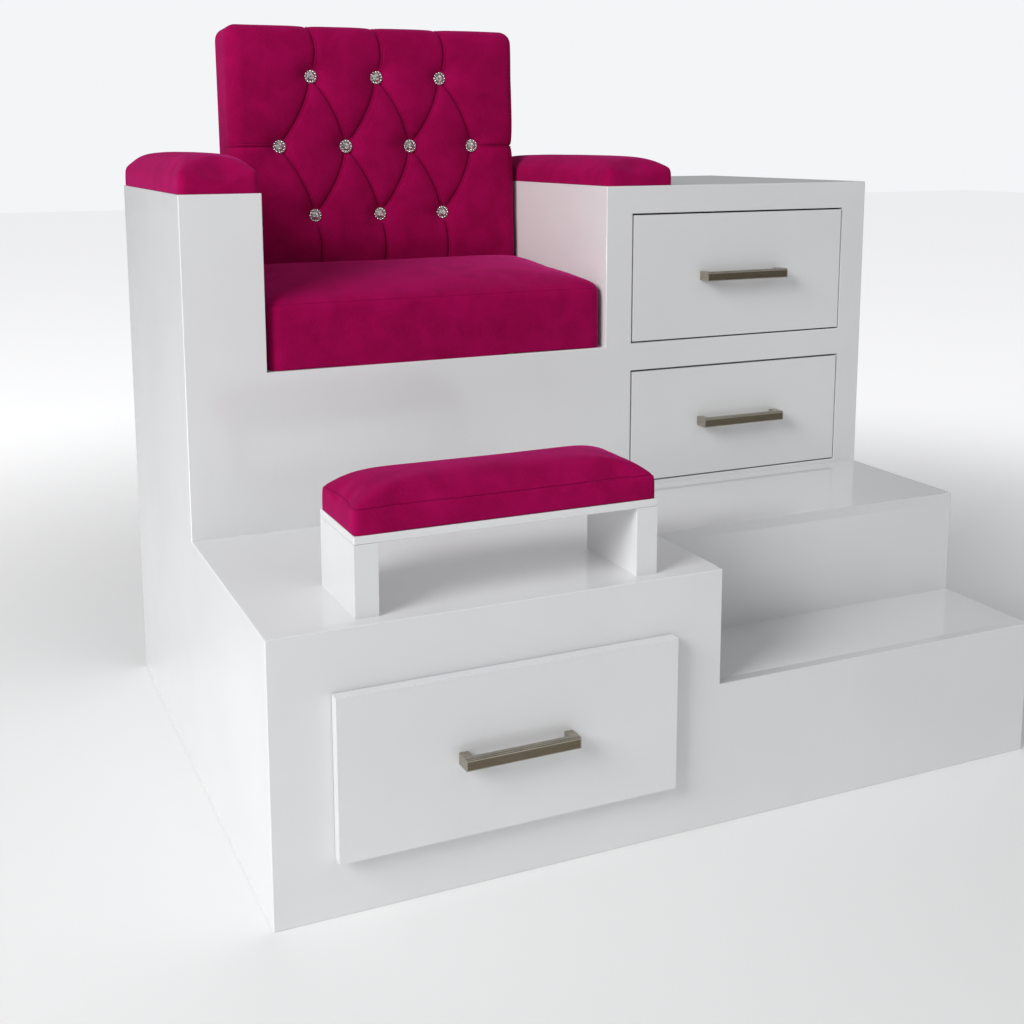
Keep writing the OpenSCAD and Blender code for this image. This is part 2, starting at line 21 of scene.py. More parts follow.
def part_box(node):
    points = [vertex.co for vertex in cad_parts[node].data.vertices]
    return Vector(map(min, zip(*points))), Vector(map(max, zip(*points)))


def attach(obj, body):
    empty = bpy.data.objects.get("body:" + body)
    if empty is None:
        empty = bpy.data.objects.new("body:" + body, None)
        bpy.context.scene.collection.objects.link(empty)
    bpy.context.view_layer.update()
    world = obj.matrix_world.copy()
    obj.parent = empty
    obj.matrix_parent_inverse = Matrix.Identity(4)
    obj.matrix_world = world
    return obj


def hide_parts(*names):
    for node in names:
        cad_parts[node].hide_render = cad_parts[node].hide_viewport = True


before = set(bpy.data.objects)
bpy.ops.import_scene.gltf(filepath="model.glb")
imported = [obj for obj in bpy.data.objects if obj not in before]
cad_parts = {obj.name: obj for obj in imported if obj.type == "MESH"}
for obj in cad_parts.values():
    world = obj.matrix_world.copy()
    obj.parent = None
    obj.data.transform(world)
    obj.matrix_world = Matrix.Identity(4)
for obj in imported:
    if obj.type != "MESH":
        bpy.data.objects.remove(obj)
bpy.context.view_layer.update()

LOG = logging.getLogger("spa_chair")
MM = 0.001
COVER_CLOTH = {
    "quality": 4,
    "mass": 0.3,
    "tension_stiffness": 20,
    "compression_stiffness": 20,
    "shear_stiffness": 8,
    "bending_stiffness": 2,
}
Number = float | int
Point = tuple[float, float, float]
Mesh = bmesh.types.BMesh
Vert = bmesh.types.BMVert
Edge = bmesh.types.BMEdge
Face = bmesh.types.BMFace
Piece = bpy.types.Object


# ---------------------------------------------------------------- shader building


@dataclass(frozen=True)
class Wire:
    """A shader's output socket that takes part in Python arithmetic by adding Math nodes."""

    shop: "Shader"
    socket: bpy.types.NodeSocket

    def _math(self, operation: str, *values: "Wire | Number") -> "Wire":
        """Adds one Math node on the given values."""
        made = self.shop.add("ShaderNodeMath", {"operation": operation}, dict(enumerate(values)))
        return Wire(self.shop, made.outputs[0])

    def __add__(self, other: "Wire | Number") -> "Wire":
        """Sum."""
        return self._math("ADD", self, other)

    def __rsub__(self, other: Number) -> "Wire":
        """Difference from a number."""
        return self._math("SUBTRACT", other, self)

    def __mul__(self, other: "Wire | Number") -> "Wire":
        """Product."""
        return self._math("MULTIPLY", self, other)

    def ramp(self, low: float, high: float) -> "Wire":
        """Maps low..high to a smooth 0..1.

        Args:
            low: the value that gives 0.
            high: the value that gives 1.

        Returns:
            The mapped value.
        """
        made = self.shop.add(
            "ShaderNodeMapRange",
            {"interpolation_type": "SMOOTHSTEP", "clamp": True},
            {0: self, 1: low, 2: high},
        )
        return Wire(self.shop, made.outputs[0])


class Shader:
    """A material under construction."""

    def __init__(self, name: str) -> None:
        """Makes an empty node material.

        Args:
            name: the material's name.
        """
        self.material = bpy.data.materials.new(name)
        self.material.use_nodes = True
        self.tree = self.material.node_tree
        self.tree.nodes.clear()

    def add(
        self,
        kind: str,
        settings: dict[str, object] | None = None,
        inputs: dict[int | str, object] | None = None,
    ) -> bpy.types.Node:
        """Adds one node.

        Args:
            kind: the node's type.
            settings: the node's own properties, set first.
            inputs: values or wires for its input sockets, by name or index.

        Returns:
            The node.
        """
        made = self.tree.nodes.new(kind)
        for key, value in (settings or {}).items():
            setattr(made, key, value)
        for key, value in (inputs or {}).items():
            if isinstance(value, Wire):
                self.tree.links.new(value.socket, made.inputs[key])
            else:
                made.inputs[key].default_value = value
        return made

    def place(self, scale: Point = (1, 1, 1)) -> Wire:
        """Object coordinates through a Mapping node.

        Args:
            scale: stretch of the pattern along each axis.

        Returns:
            The coordinate wire.
        """
        where = Wire(self, self.add("ShaderNodeTexCoord").outputs["Object"])
        made = self.add("ShaderNodeMapping", {}, {"Vector": where, "Scale": scale})
        return Wire(self, made.outputs[0])

    def noise(self, where: Wire, size: float, detail: float = 2.0, distort: float = 0.0) -> Wire:
        """Noise of a given grain size.

        Args:
            where: the coordinate wire.
            size: the grain's size in metres.
            detail: octaves of finer grain.
            distort: how far the grain is warped.

        Returns:
            A value from 0 to 1.
        """
        made = self.add(
            "ShaderNodeTexNoise",
            {"noise_dimensions": "3D"},
            {"Vector": where, "Scale": 1 / size, "Detail": detail, "Distortion": distort},
        )
        return Wire(self, made.outputs["Fac"])

    def mix(self, amount: Wire | float, low: object, high: object) -> Wire:
        """Mixes two colours.

        Args:
            amount: 0 gives the first colour and 1 the second.
            low: the first colour, a wire or RGB values.
            high: the second colour, a wire or RGB values.

        Returns:
            The mixed colour.
        """
        first, second = (end if isinstance(end, Wire) else (*end, 1.0) for end in (low, high))
        settings = {"data_type": "RGBA", "clamp_factor": True}
        made = self.add("ShaderNodeMix", settings, {0: amount, 6: first, 7: second})
        return Wire(self, made.outputs[2])

    def attribute(self, name: str) -> Wire:
        """The value of a mesh attribute."""
        made = self.add("ShaderNodeAttribute", {"attribute_name": name})
        return Wire(self, made.outputs["Fac"])

    def bump(self, height: Wire, depth: float) -> Wire:
        """Bump from a height of 0 to 1.

        Args:
            height: the height wire.
            depth: the depth in metres that a height of 1 stands for.

        Returns:
            The normal.
        """
        made = self.add("ShaderNodeBump", {}, {"Strength": 1.0, "Distance": depth, "Height": height})
        return Wire(self, made.outputs[0])

    def surface(self, **sockets: object) -> bpy.types.Material:
        """Ends the shader in one Principled BSDF.

        Args:
            **sockets: its inputs, with underscores for the spaces in their names.

        Returns:
            The finished material.
        """
        inputs: dict[int | str, object] = {}
        for key, value in sockets.items():
            if isinstance(value, tuple) and len(value) == 3:
                value = (*value, 1.0)
            inputs[key.replace("_", " ")] = value
        body = self.add("ShaderNodeBsdfPrincipled", {}, inputs)
        self.add("ShaderNodeOutputMaterial", {}, {0: Wire(self, body.outputs[0])})
        return self.material


# ---------------------------------------------------------------- finishes


@dataclass(frozen=True)
class GlossLacquer:
    """Sprayed and polished lacquer on board."""

    name: str = "white_lacquer"
    colour: Point = (0.80, 0.805, 0.81)
    shade: Point = (0.76, 0.765, 0.775)

    def build(self) -> bpy.types.Material:
        """Makes the material: faint clouding, a fine orange peel and a clear coat."""
        shop = Shader(self.name)
        where = shop.place()
        cloud = shop.noise(where, 0.35, 3)
        peel = shop.noise(where, 0.004, 1)
        haze = shop.noise(where, 0.06, 4)
        return shop.surface(
            Base_Color=shop.mix(cloud.ramp(0.3, 0.7), self.colour, self.shade),
            Roughness=haze * 0.03 + 0.13,
            Normal=shop.bump(peel, 0.000004),
            Coat_Weight=0.5,
            Coat_Roughness=0.05,
            IOR=1.5,
        )


@dataclass(frozen=True)
class Velvet:
    """Short-pile velvet whose nap catches the light at the edges of a form."""

    name: str = "magenta_velvet"
    colour: Point = (0.30, 0.0012, 0.060)
    bright: Point = (0.40, 0.0030, 0.092)
    # the darker nap tone, also used as the painted shade colour in the creases
    dark: Point = (0.19, 0.0005, 0.036)
    sheen: Point = (1.0, 0.08, 0.50)

    def build(self) -> bpy.types.Material:
        """Makes the material: brushed nap, pile grain, worn-in clouding and painted shade in the
        creases.
        """
        shop = Shader(self.name)
        where = shop.place()
        nap = shop.noise(where, 0.045, 4, 0.4)
        grain = shop.noise(where, 0.0024, 3)
        pile = shop.noise(where, 0.0009, 1)
        brushed = shop.mix(nap.ramp(0.25, 0.75), self.dark, self.bright)
        soft = shop.mix(0.62, brushed, self.colour)
        speck = shop.mix(grain.ramp(0.42, 0.72), soft, self.bright)
        colour = shop.mix(0.45, soft, speck)
        # painted shade: the crease attribute darkens the velvet in the pleats' creases and along the
        # seams
        crease = shop.attribute("crease").ramp(0.0, 1.0)
        height = grain * 0.6 + pile * 0.4
        return shop.surface(
            Base_Color=shop.mix(crease * 0.8, colour, self.dark),
            Roughness=nap * 0.1 + 0.82,
            Normal=shop.bump(height, 0.0005),
            Sheen_Weight=0.32,
            Sheen_Roughness=0.45,
            Sheen_Tint=self.sheen,
            Specular_IOR_Level=0.04,
        )


@dataclass(frozen=True)
class BrushedMetal:
    """Metal brushed along x, from a dark to a light tone."""

    name: str
    dark: Point
    light: Point
    roughness: float = 0.3
    # painted shade colour, mixed in where the tone attribute is 1
    painted_shade: Point = (0.10, 0.075, 0.04)

    def build(self) -> bpy.types.Material:
        """Makes the material with long fine scratches, and painted shade where the tone attribute is 1.
        """
        shop = Shader(self.name)
        streak = shop.noise(shop.place((0.02, 1, 1)), 0.0006, 2)
        broad = shop.noise(shop.place((0.1, 1, 1)), 0.004, 2)
        tone = streak * 0.6 + broad * 0.4
        brushed = shop.mix(tone.ramp(0.35, 0.65), self.dark, self.light)
        # painted shade: the tone attribute mixes in the dark shade colour
        return shop.surface(
            Base_Color=shop.mix(shop.attribute("tone"), brushed, self.painted_shade),
            Metallic=1.0,
            Roughness=streak * 0.16 + self.roughness,
            Normal=shop.bump(streak, 0.00004),
        )


@dataclass(frozen=True)
class Timber:
    """Sawn or veneered timber with its grain along one axis."""

    name: str
    light: Point
    dark: Point
    along: Point = (1, 0.06, 1)
    gloss: float = 0.45

    def grain(self, shop: Shader, size: float, detail: float, distort: float = 0.0) -> Wire:
        """Noise drawn out along the grain, or across it where the turned attribute is 1.

        Args:
            shop: the material's shader.
            size: the size of the noise across the grain.
            detail: the noise's octaves.
            distort: how far its pattern wanders.

        Returns:
            The noise.
        """
        turned = shop.attribute("turned")
        across = (self.along[1], self.along[0], self.along[2])
        straight = shop.noise(shop.place(self.along), size, detail, distort)
        crossed = shop.noise(shop.place(across), size, detail, distort)
        return straight * (1 - turned) + crossed * turned

    def build(self) -> bpy.types.Material:
        """Makes the material with growth rings, pores and a sealed surface."""
        shop = Shader(self.name)
        rings = self.grain(shop, 0.016, 5, 0.7)
        pores = self.grain(shop, 0.0012, 2)
        tone = rings.ramp(0.35, 0.68) * 0.75 + pores.ramp(0.45, 0.7) * 0.25
        return shop.surface(
            Base_Color=shop.mix(tone, self.light, self.dark),
            Roughness=pores * 0.15 + self.gloss,
            Normal=shop.bump(rings * 0.5 + pores * 0.5, 0.00012),
        )


@dataclass(frozen=True)
class Crystal:
    """Cut glass over a silvered back."""

    name: str = "cut_crystal"
    tint: Point = (0.86, 0.86, 0.84)
    deep: Point = (0.30, 0.29, 0.28)

    def build(self) -> bpy.types.Material:
        """Makes the material: mirror-like facets with painted glints of mixed brightness."""
        shop = Shader(self.name)
        # painted glints: noise mixes dark and bright facets into the base colour
        painted_glint = shop.noise(shop.place(), 0.006, 2, 1.2)
        return shop.surface(
            Base_Color=shop.mix(painted_glint.ramp(0.40, 0.56), self.deep, self.tint),
            Metallic=0.85,
            Roughness=painted_glint * 0.06 + 0.05,
            Coat_Weight=1.0,
            Coat_Roughness=0.02,
        )


@dataclass(frozen=True)
class Moulded:
    """Plain moulded rubber."""

    name: str
    colour: Point
    shade: Point
    roughness: float = 0.6
    grain: float = 0.0008

    def build(self) -> bpy.types.Material:
        """Makes the material with a fine moulded grain."""
        shop = Shader(self.name)
        grain = shop.noise(shop.place(), self.grain, 2)
        return shop.surface(
            Base_Color=shop.mix(grain, self.colour, self.shade),
            Roughness=grain * 0.1 + self.roughness,
            Normal=shop.bump(grain, 0.00005),
        )


@dataclass(frozen=True)
class PaleFloor:
    """A white studio floor, lit a little from below so that it stays pale."""

    name: str = "pale_floor"
    colour: Point = (0.86, 0.86, 0.86)
    shade: Point = (0.84, 0.84, 0.84)
    glow: Point = (0.08, 0.08, 0.08)
    far_glow: Point = (0.56, 0.56, 0.565)
    near: float = 0.9
    far: float = 3.4

    def build(self) -> bpy.types.Material:
        """Makes the material with a faint cloudiness, as pale far away as near the chair."""
        shop = Shader(self.name)
        where = shop.place()
        cloud = shop.noise(where, 0.9, 2)
        length = shop.add("ShaderNodeVectorMath", {"operation": "LENGTH"}, {0: where})
        distance = Wire(shop, length.outputs["Value"])
        path = shop.add("ShaderNodeLightPath")
        seen = Wire(shop, path.outputs["Is Camera Ray"])
        return shop.surface(
            Base_Color=shop.mix(cloud, self.colour, self.shade),
            Roughness=0.6,
            Emission_Color=shop.mix(
                distance.ramp(self.near, self.far) * seen, self.glow, self.far_glow
            ),
            Emission_Strength=1.0,
        )


Finish = GlossLacquer | Velvet | BrushedMetal | Timber | Crystal | Moulded


class Coat(Enum):
    """Every finish on the chair, with the record slot that it belongs to."""

    LACQUER = ("lacquer", GlossLacquer())
    VELVET = ("velvet", Velvet())
    BRONZE = ("bronze", BrushedMetal("brushed_bronze", (0.36, 0.33, 0.27), (0.47, 0.435, 0.37), 0.2))
    STEEL = ("steel", BrushedMetal("zinc_steel", (0.42, 0.43, 0.45), (0.66, 0.67, 0.69), 0.26))
    SILVER = ("steel", BrushedMetal("silvered_setting", (0.55, 0.53, 0.5), (0.8, 0.79, 0.76), 0.14))
    PLYWOOD = ("plywood", Timber("birch_plywood", (0.66, 0.49, 0.31), (0.47, 0.31, 0.17)))
    SOFTWOOD = ("softwood", Timber("softwood", (0.72, 0.55, 0.34), (0.52, 0.35, 0.18), (1, 1, 0.06)))
    CRYSTAL = ("crystal", Crystal())
    RUBBER = ("rubber", Moulded("black_rubber", (0.02, 0.02, 0.02), (0.05, 0.05, 0.05)))

    @property
    def slot(self) -> str:
        """The record's material slot."""
        return self.value[0]

    def material(self) -> bpy.types.Material:
        """The finish's material, made once."""
        finish: Finish = self.value[1]
        return bpy.data.materials.get(finish.name) or finish.build()


# ---------------------------------------------------------------- mesh helpers


@dataclass
class Solid:
    """A bmesh under construction, in the row frame, with the finished piece's name."""

    name: str
    bm: Mesh = field(default_factory=bmesh.new)

    @classmethod
    def from_node(cls, name: str, node: str) -> "Solid":
        """Starts from a merged copy of a CAD node.

        Args:
            name: the finished piece's name.
            node: the CAD node to copy.

        Returns:
            The solid, with coplanar faces joined.
        """
        solid = cls(name)
        solid.bm.from_mesh(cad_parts[node].data)
        bmesh.ops.remove_doubles(solid.bm, verts=solid.bm.verts, dist=0.00002)
        bmesh.ops.dissolve_limit(
            solid.bm, angle_limit=math.radians(0.5), verts=solid.bm.verts,
            edges=solid.bm.edges, use_dissolve_boundaries=False, delimit=set(),
        )
        return solid

    def block(self, low: Sequence[float], high: Sequence[float]) -> list[Vert]:
        """Adds a block between two corners.

        Args:
            low: its lowest corner.
            high: its highest corner.

        Returns:
            The block's vertices.
        """
        middle = (Vector(low) + Vector(high)) / 2
        size = Vector(high) - Vector(low)
        matrix = Matrix.Translation(middle) @ Matrix.Diagonal((*size, 1))
        return bmesh.ops.create_cube(self.bm, size=1, matrix=matrix)["verts"]

    def bevel(self, edges: Sequence[Edge], radius: float, segments: int) -> None:
        """Rounds edges.

        Args:
            edges: the edges to round.
            radius: the width that the rounding takes from each face.
            segments: the number of faces across it.
        """
        bmesh.ops.bevel(
            self.bm, geom=list(edges), offset=radius, offset_type="OFFSET", segments=segments,
            profile=0.5, affect="EDGES", clamp_overlap=True, material=-1,
        )

    def sharp_edges(self, least: float = 30) -> list[Edge]:
        """Convex edges that turn by more than an angle in degrees."""
        limit = math.radians(least)
        return [
            edge
            for edge in self.bm.edges
            if edge.is_manifold and edge.is_convex and edge.calc_face_angle(0) > limit
        ]

    def finish(self, smooth: float = 35, even: bool = False) -> Piece:
        """Turns the solid into a shown object.

        Args:
            smooth: faces that meet at less than this angle in degrees are shaded as one.
            even: whether large faces are kept flat beside their rounded edges.

        Returns:
            The object, at the origin.
        """
        mesh = bpy.data.meshes.new(self.name)
        for face in self.bm.faces:
            face.smooth = True
        self.bm.to_mesh(mesh)
        self.bm.free()
        mesh.set_sharp_from_angle(angle=math.radians(smooth))
        piece = bpy.data.objects.new(self.name, mesh)
        bpy.context.scene.collection.objects.link(piece)
        if even:
            weighted = piece.modifiers.new("even", "WEIGHTED_NORMAL")
            weighted.weight = 100
            weighted.keep_sharp = True
        return piece


def sliced(
    bm: Mesh, point: Sequence[float], normal: Sequence[float], kind: type, **more: object
) -> list[Vert] | list[Edge]:
    """Cuts new edges through a mesh along a plane.

    Args:
        bm: the mesh.
        point: a point of the plane.
        normal: the plane's normal.
        kind: whether the new verts or the new edges are wanted.
        **more: further settings of the operator, such as the part of the mesh to cut.

    Returns:
        The verts or edges on the cut.
    """
    settings = {"geom": [*bm.verts, *bm.edges, *bm.faces], "dist": 0.0001, **more}
    cut = bmesh.ops.bisect_plane(bm, plane_co=point, plane_no=normal, **settings)
    return [item for item in cut["geom_cut"] if isinstance(item, kind)]


def dress(piece: Piece, coat: Coat, body: str, *nodes: str) -> Piece:
    """Gives a new piece its finish and its body, and hides the CAD nodes that it stands for.

    Args:
        piece: the piece.
        coat: its finish.
        body: the CAD body it rides on.
        *nodes: the CAD nodes that it replaces.

    Returns:
        The piece.
    """
    piece.data.materials.clear()
    piece.data.materials.append(coat.material())
    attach(piece, body)
    if nodes:
        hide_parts(*nodes)
    LOG.info("%s: %d faces, on %s", piece.name, len(piece.data.polygons), body)
    return piece


def paint_node(node: str, coat: Coat) -> None:
    """Gives a CAD node that stays visible its finish."""
    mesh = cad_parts[node].data
    mesh.materials.clear()
    mesh.materials.append(coat.material())
    LOG.info("%s: CAD node kept, %s", node, coat.name.lower())


def rounded_node(node: str, coat: Coat, body: str, radius: float) -> None:
    """Replaces a hard CAD node by a copy with every outer edge eased.

    Args:
        node: the CAD node.
        coat: its finish.
        body: the CAD body it rides on.
        radius: the radius of the edges.
    """
    solid = Solid.from_node(f"{node}.eased", node)
    solid.bevel(solid.sharp_edges(), radius, 3)
    dress(solid.finish(even=True), coat, body, node)


# ---------------------------------------------------------------- casework


class SolidTest:
    """Says whether a point lies inside any of a set of CAD nodes."""

    ray = Vector((0.61, 0.37, 0.70)).normalized()

    def __init__(self, nodes: Sequence[str]) -> None:
        """Builds one tree per node.

        Args:
            nodes: the CAD nodes to test against.
        """
        self.trees: dict[str, BVHTree] = {}
        for node in nodes:
            solid = Solid.from_node(node, node)
            bmesh.ops.triangulate(solid.bm, faces=solid.bm.faces)
            self.trees[node] = BVHTree.FromBMesh(solid.bm)
            solid.bm.free()

    def filled(self, point: Vector) -> bool:
        """Whether the point is inside a node, by counting the walls along a ray."""
        return any(self._crossings(tree, point) % 2 for tree in self.trees.values())

    def _crossings(self, tree: BVHTree, point: Vector) -> int:
        """The number of walls between a point and far away."""
        count = 0
        start = point.copy()
        while True:
            hit = tree.ray_cast(start, self.ray)[0]
            if hit is None:
                return count
            count += 1
            start = hit + self.ray * 1e-6


@dataclass
class Casework:
    """The lacquered boards, which read as one seamless shell with finely rounded edges."""

    body: str = "casework"
    edge: float = 1.6 * MM
    segments: int = 3
    probe: float = 0.6 * MM
    boards: tuple[str, ...] = (
        "left_side_panel", "right_side_panel", "back_panel", "upper_front_panel",
        "platform_front_panel", "platform_deck", "platform_cheek", "step_riser", "step_tread",
        "left_arm_inner_panel", "left_arm_top", "cabinet_wall", "cabinet_top", "seat_deck",
        "rear_cap",
    )
    inner: tuple[tuple[Coat, tuple[str, ...]], ...] = (
        (Coat.PLYWOOD, ("platform_divider", "runner_boards", "cabinet_shelf", "seat_rib")),
        (Coat.SOFTWOOD, ("slide_packers", "back_uprights", "corner_blocks")),
        (Coat.STEEL, ("back_panel_screws", "fixed_slide_members")),
        (Coat.RUBBER, ("levelling_feet",)),
    )

    def build(self) -> None:
        """Builds every board and finishes the inner structure."""
        test = SolidTest(self.boards)
        for node in self.boards:
            self.board(node, test)
        for coat, nodes in self.inner:
            for node in nodes:
                paint_node(node, coat)

    def board(self, node: str, test: SolidTest) -> None:
        """Replaces one board by a copy whose free edges are rounded.

        Args:
            node: the CAD node of the board.
            test: the test against all the boards.
        """
        solid = Solid.from_node(f"{node}.lacquered", node)
        free = [edge for edge in solid.sharp_edges(60) if self.is_free(edge, test)]
        solid.bevel(free, self.edge, self.segments)
        dress(solid.finish(even=True), Coat.LACQUER, self.body, node)

    def is_free(self, edge: Edge, test: SolidTest) -> bool:
        """Whether no other board meets an edge, so that its corner can be seen.

        Args:
            edge: a convex edge of a board.
            test: the test against all the boards.

        Returns:
            True where the corner outside the edge is open on all sides.
        """
        first, second = (face.normal for face in edge.link_faces)
        sides = (first + second, first - second, second - first)
        start, end = (vert.co for vert in edge.verts)
        for share in (0.03, 0.5, 0.97):
            middle = start.lerp(end, share)
            if any(test.filled(middle + side * self.probe) for side in sides):
                return False
        return True


# ---------------------------------------------------------------- drawers


@dataclass
class Pull:
    """A bar pull of rectangular section, with a sunk panel in the face of the bar and a groove along
    its top, both darkened with painted shade.
    """

    border: float = 1.3 * MM
    sunk: float = 0.35 * MM
    groove_in: float = 3.2 * MM
    groove_w: float = 1.2 * MM
    groove_deep: float = 0.8 * MM
    top_depth: float = 2 * MM
    least_area: float = 500 * MM**2
    step: float = 0.02 * MM
    edge: float = 0.7 * MM
    # how far the painted shade darkens the sunk face of the bar
    front_shade: float = 0.8

    def build(self, node: str, body: str) -> None:
        """Builds one pull from its CAD node.

        Args:
            node: the CAD node of the pull.
            body: the drawer it is screwed to.
        """
        solid = Solid.from_node(f"{node}.brushed", node)
        low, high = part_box(node)
        solid.bevel(solid.sharp_edges(50), self.edge, 2)
        bm = solid.bm
        tone = bm.faces.layers.float.new("tone")
        for place in (self.groove_in, self.groove_in + self.groove_w):
            sliced(bm, (0, low.y + place, 0), (0, 1, 0), Vert, dist=0.00001)
        bm.normal_update()
        middle = low.y + self.groove_in + self.groove_w / 2
        strip = []
        front = []
        for face in bm.faces:
            at = face.calc_center_median()
            if face.normal.z > 0.9 and abs(at.y - middle) < self.groove_w / 2:
                if at.z > high.z - self.top_depth:
                    strip.append(face)
            if face.normal.y < -0.99 and at.y < low.y + MM and face.calc_area() > self.least_area:
                front.append(face)
        # painted shade: the groove on top and the sunk face of the bar get the tone attribute, which
        # mixes in the dark colour
        for faces, border, depth, dark in (
            (strip, self.step, self.groove_deep, 1.0),
            (front, self.border, self.sunk, self.front_shade),
        ):
            self.recess(bm, faces, border, depth)
            for face in faces:
                face[tone] = dark
        dress(solid.finish(35, True), Coat.BRONZE, body, node)

    def recess(
        self, bm: Mesh, faces: list[Face], border: float, depth: float
    ) -> None:
        """Sinks faces below their surroundings.

        Args:
            bm: the mesh.
            faces: the faces to sink.
            border: how far the sunk part stays inside their outline.
            depth: how far it is sunk.
        """
        for thickness, sink in ((border, 0.0), (self.step, -depth)):
            bmesh.ops.inset_region(
                bm, faces=faces, thickness=thickness, depth=sink,
                use_even_offset=True, use_boundary=True,
            )


@dataclass
class Drawer:
    """A drawer: lacquered front, plywood box, bar pull, screws and slide members."""

    name: str
    front_edge: float = 1.2 * MM
    box_edge: float = 1.0 * MM
    wall: float = 12 * MM

    @property
    def body(self) -> str:
        """The CAD body of the drawer."""
        return f"{self.name}_drawer"

    def box(self) -> None:
        """Builds the box's walls, with the grain of its two ends running across the drawer."""
        node = f"{self.body}_box_walls"
        solid = Solid.from_node(f"{node}.eased", node)
        solid.bevel(solid.sharp_edges(), self.box_edge, 2)
        low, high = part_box(node)
        turned = solid.bm.faces.layers.float.new("turned")
        for face in solid.bm.faces:
            middle = face.calc_center_median().x
            face[turned] = float(low.x + self.wall < middle - MM and middle + MM < high.x - self.wall)
        dress(solid.finish(even=True), Coat.PLYWOOD, self.body, node)

    def build(self) -> None:
        """Builds the drawer's pieces and finishes its slides."""
        node = self.body
        rounded_node(f"{node}_front", Coat.LACQUER, node, self.front_edge)
        self.box()
        Pull().build(f"{node}_pull", node)
        paint_node(f"{node}_bottom", Coat.PLYWOOD)
        for kept in (f"{node}_screws", f"{node}_slide_members", f"{self.name}_middle_slide_members"):
            paint_node(kept, Coat.STEEL)


# ---------------------------------------------------------------- upholstery


def smooth_step(value: float, low: float, high: float) -> float:
    """Maps low..high to 0..1 with level ends.

    Args:
        value: the value to map.
        low: the value that gives 0.
        high: the value that gives 1.

    Returns:
        The mapped value.
    """
    share = min(1.0, max(0.0, (value - low) / (high - low)))
    return share * share * (3 - 2 * share)


def evaluated(piece: Piece) -> bpy.types.Mesh:
    """A copy of a piece's mesh with its modifiers applied."""
    graph = bpy.context.evaluated_depsgraph_get()
    return bpy.data.meshes.new_from_object(piece.evaluated_get(graph))


def remeshed(solid: Solid, voxel: float) -> Piece:
    """Turns a slab into an even grid of small faces.

    Args:
        solid: the slab.
        voxel: the size of the faces.

    Returns:
        The remeshed object.
    """
    piece = solid.finish()
    remesh = piece.modifiers.new("remesh", "REMESH")
    remesh.mode = "VOXEL"
    remesh.voxel_size = voxel
    mesh = evaluated(piece)
    piece.modifiers.remove(remesh)
    piece.data = mesh
    return piece


